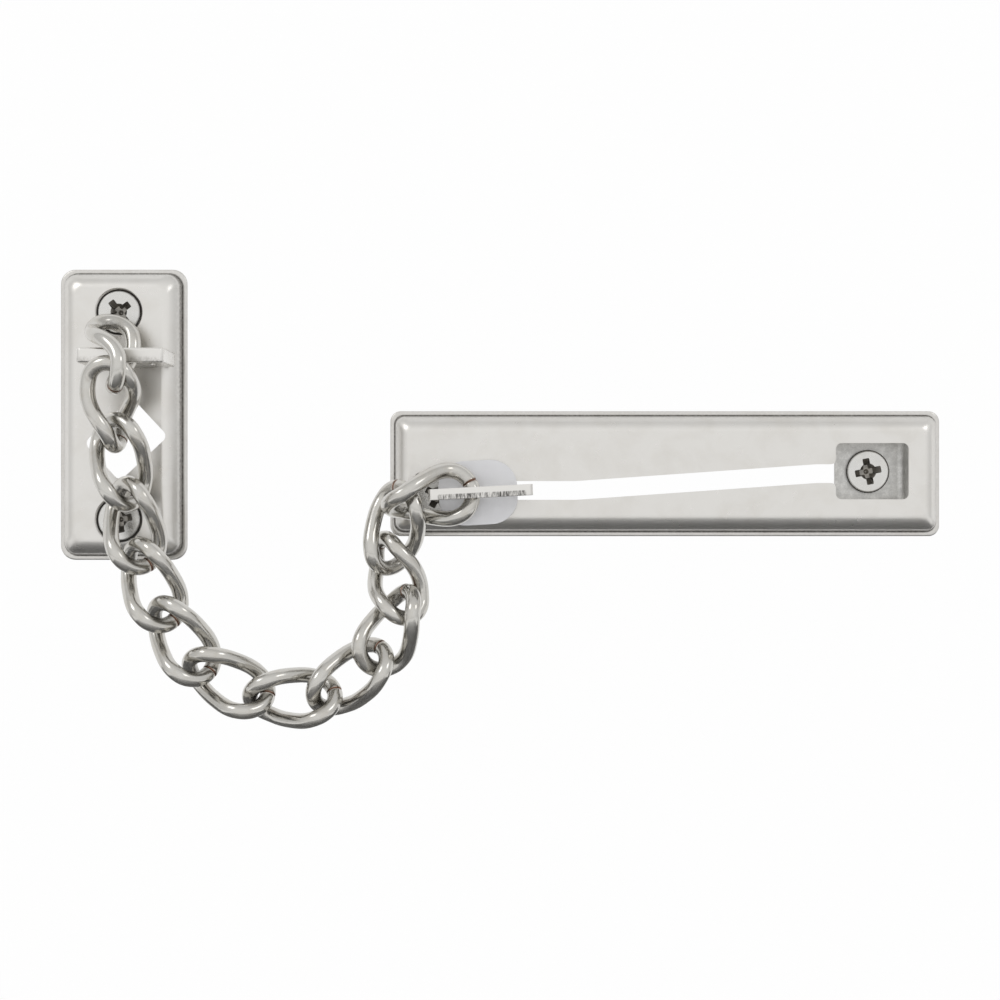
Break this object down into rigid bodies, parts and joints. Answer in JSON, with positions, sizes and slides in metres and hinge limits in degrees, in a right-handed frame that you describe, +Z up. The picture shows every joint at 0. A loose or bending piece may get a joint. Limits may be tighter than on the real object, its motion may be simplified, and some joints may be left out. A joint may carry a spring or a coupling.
{
  "type": "door chain",
  "caption": "Surface-mounted door chain: a holder plate, a curb chain of twisted links, and a slider that runs in the slot of a track plate up to a keyhole.",
  "frame": {"origin": "centre of the holder plate's outline, on the wall", "axes": "+X to the right along the door, from the holder to the track; +Y into the wall; +Z up"},
  "size_m": [0.1664, 0.0449, 0.0851],
  "materials": {
    "plate_nickel": "satin nickel plate on pressed steel",
    "lug_nickel": "nickel plate on a sheared edge",
    "slider_nickel": "satin nickel plate, rubbed",
    "link_nickel": "bright nickel plate on round wire",
    "screw_nickel": "bright nickel plate"
  },
  "bodies": {
    "wall_parts": {"holder_plate": "plate_nickel", "holder_lug": "lug_nickel", "holder_screws": "screw_nickel", "track_plate": "plate_nickel", "track_screws": "screw_nickel"},
    "slider": {"slider_lug": "lug_nickel", "slider_collar": "slider_nickel", "slider_backplate": "slider_nickel"},
    "link_01": {"chain_link_01": "link_nickel"},
    "link_02": {"chain_link_02": "link_nickel"},
    "link_03": {"chain_link_03": "link_nickel"},
    "link_04": {"chain_link_04": "link_nickel"},
    "link_05": {"chain_link_05": "link_nickel"},
    "link_06": {"chain_link_06": "link_nickel"},
    "link_07": {"chain_link_07": "link_nickel"},
    "link_08": {"chain_link_08": "link_nickel"},
    "link_09": {"chain_link_09": "link_nickel"},
    "link_10": {"chain_link_10": "link_nickel"},
    "link_11": {"chain_link_11": "link_nickel"},
    "link_12": {"chain_link_12": "link_nickel"},
    "link_13": {"chain_link_13": "link_nickel"}
  },
  "joints": [
    {"name": "slider_slide", "type": "slide", "parent": "wall_parts", "child": "slider", "axis": [0.9988, 0, 0.0489], "range_m": [0, 0.07369]},
    {"name": "link_01_turn", "type": "hinge", "parent": "wall_parts", "child": "link_01", "pos_m": [0.00259, -0.01043, 0.01978], "axis": [0, -1, 0], "range_deg": [0, 14.66]},
    {"name": "link_02_turn", "type": "hinge", "parent": "link_01", "child": "link_02", "pos_m": [0.00322, -0.01831, 0.0056], "axis": [0, -1, 0], "range_deg": [0, 46.18]},
    {"name": "link_03_turn", "type": "hinge", "parent": "link_02", "child": "link_03", "pos_m": [-0.00156, -0.01264, -0.00497], "axis": [0, -1, 0], "range_deg": [-23.68, 0]},
    {"name": "link_04_turn", "type": "hinge", "parent": "link_03", "child": "link_04", "pos_m": [0.00606, -0.01283, -0.01469], "axis": [0, -1, 0], "range_deg": [0, 19.04]},
    {"name": "link_05_turn", "type": "hinge", "parent": "link_04", "child": "link_05", "pos_m": [0.002, -0.01288, -0.02727], "axis": [0, -1, 0], "range_deg": [-17.79, 0]},
    {"name": "link_06_turn", "type": "hinge", "parent": "link_05", "child": "link_06", "pos_m": [0.00666, -0.01318, -0.03901], "axis": [0, -1, 0], "range_deg": [-13.21, 0]},
    {"name": "link_07_turn", "type": "hinge", "parent": "link_06", "child": "link_07", "pos_m": [0.01464, -0.0132, -0.04882], "axis": [0, -1, 0], "range_deg": [-17.93, 0]},
    {"name": "link_13_turn", "type": "hinge", "parent": "slider", "child": "link_13", "pos_m": [0.062, -0.01306, -0.01562], "axis": [0, -1, 0], "range_deg": [-11.6, 0]},
    {"name": "link_12_turn", "type": "hinge", "parent": "link_13", "child": "link_12", "pos_m": [0.05074, -0.01333, -0.0147], "axis": [0, -1, 0], "range_deg": [-32.48, 0]},
    {"name": "link_11_turn", "type": "hinge", "parent": "link_12", "child": "link_11", "pos_m": [0.04605, -0.00889, -0.02646], "axis": [0, -1, 0], "range_deg": [-33.31, 0]},
    {"name": "link_10_turn", "type": "hinge", "parent": "link_11", "child": "link_10", "pos_m": [0.0574, -0.01248, -0.03523], "axis": [0, -1, 0], "range_deg": [0, 32.5]},
    {"name": "link_09_turn", "type": "hinge", "parent": "link_10", "child": "link_09", "pos_m": [0.05008, -0.01207, -0.04654], "axis": [0, -1, 0], "range_deg": [0, 21.64]},
    {"name": "link_08_turn", "type": "hinge", "parent": "link_09", "child": "link_08", "pos_m": [0.03957, -0.01219, -0.05428], "axis": [0, -1, 0], "range_deg": [0, 18.71]}
  ],
  "couplings": [
    {"joint": "link_01_turn", "follows": "slider_slide", "rad_per_m": 3.4612},
    {"joint": "link_02_turn", "follows": "slider_slide", "rad_per_m": 10.927},
    {"joint": "link_03_turn", "follows": "slider_slide", "rad_per_m": -5.5956},
    {"joint": "link_04_turn", "follows": "slider_slide", "rad_per_m": 4.4974},
    {"joint": "link_05_turn", "follows": "slider_slide", "rad_per_m": -4.2023},
    {"joint": "link_06_turn", "follows": "slider_slide", "rad_per_m": -3.1176},
    {"joint": "link_07_turn", "follows": "slider_slide", "rad_per_m": -4.2355},
    {"joint": "link_13_turn", "follows": "slider_slide", "rad_per_m": -2.736},
    {"joint": "link_12_turn", "follows": "slider_slide", "rad_per_m": -7.6809},
    {"joint": "link_11_turn", "follows": "slider_slide", "rad_per_m": -7.8776},
    {"joint": "link_10_turn", "follows": "slider_slide", "rad_per_m": 7.6852},
    {"joint": "link_09_turn", "follows": "slider_slide", "rad_per_m": 5.1128},
    {"joint": "link_08_turn", "follows": "slider_slide", "rad_per_m": 4.4193}
  ]
}
